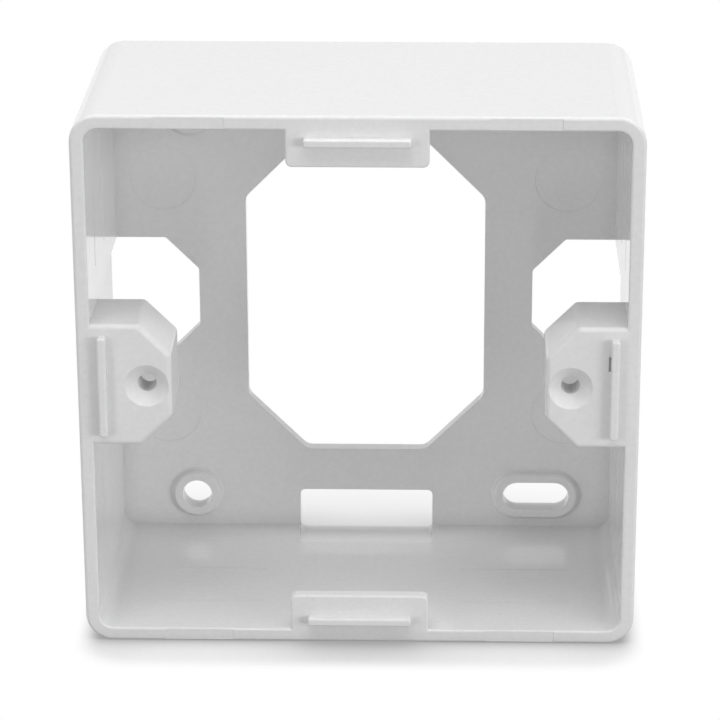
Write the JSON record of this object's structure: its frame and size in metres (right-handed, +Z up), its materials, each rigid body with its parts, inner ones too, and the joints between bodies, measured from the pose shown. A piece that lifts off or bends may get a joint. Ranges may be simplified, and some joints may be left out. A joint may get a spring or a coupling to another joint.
{
  "type": "surface mount jack box",
  "caption": "Square moulded surface mount box for a data or telephone jack plate, with screw lugs, tongues, locating ribs, a large cable entry and wall screw holes.",
  "frame": {"origin": "centre of the bounding box at the underside that the box stands on", "axes": "+X to the right seen from the open front, +Y towards the wall, +Z up"},
  "size_m": [0.08, 0.0412, 0.08],
  "materials": {
    "white_plastic": "semi-gloss white injection moulded ABS"
  },
  "bodies": {
    "root": {"back_box": "white_plastic"}
  },
  "joints": []
}
